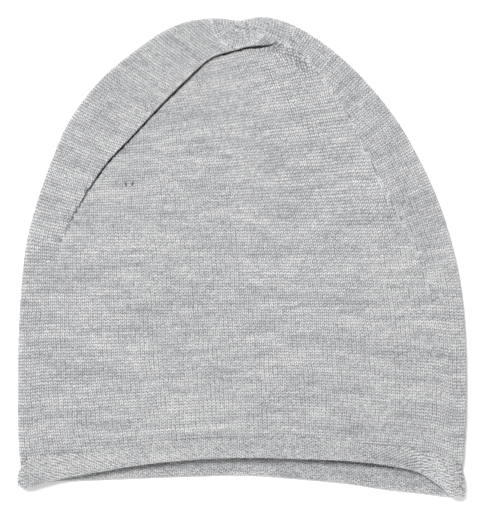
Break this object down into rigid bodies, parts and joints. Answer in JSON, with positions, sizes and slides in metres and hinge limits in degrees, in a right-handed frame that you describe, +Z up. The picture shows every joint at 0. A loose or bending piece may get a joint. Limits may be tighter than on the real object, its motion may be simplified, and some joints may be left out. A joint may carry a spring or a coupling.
{
  "type": "knit hat",
  "caption": "Fine-knit slouchy beanie with a curled edge, lying flat, its crown folded over at the upper left.",
  "frame": {"origin": "on the table under the middle of the hat's outline", "axes": "+X across the hat to the picture's right, +Y from the open edge up to the crown, +Z up from the table towards the front layer"},
  "size_m": [0.225, 0.2409, 0.019],
  "materials": {
    "heather_knit": "fine stocking-stitch knit in light heather grey wool yarn, matt, with darker and lighter streaks along the rows",
    "heather_purl": "the same heather grey knit seen from its purl side, matt, with small bumps in slanting rows"
  },
  "bodies": {
    "root": {"crown_body": "heather_knit", "rolled_brim": "heather_purl"}
  },
  "joints": []
}
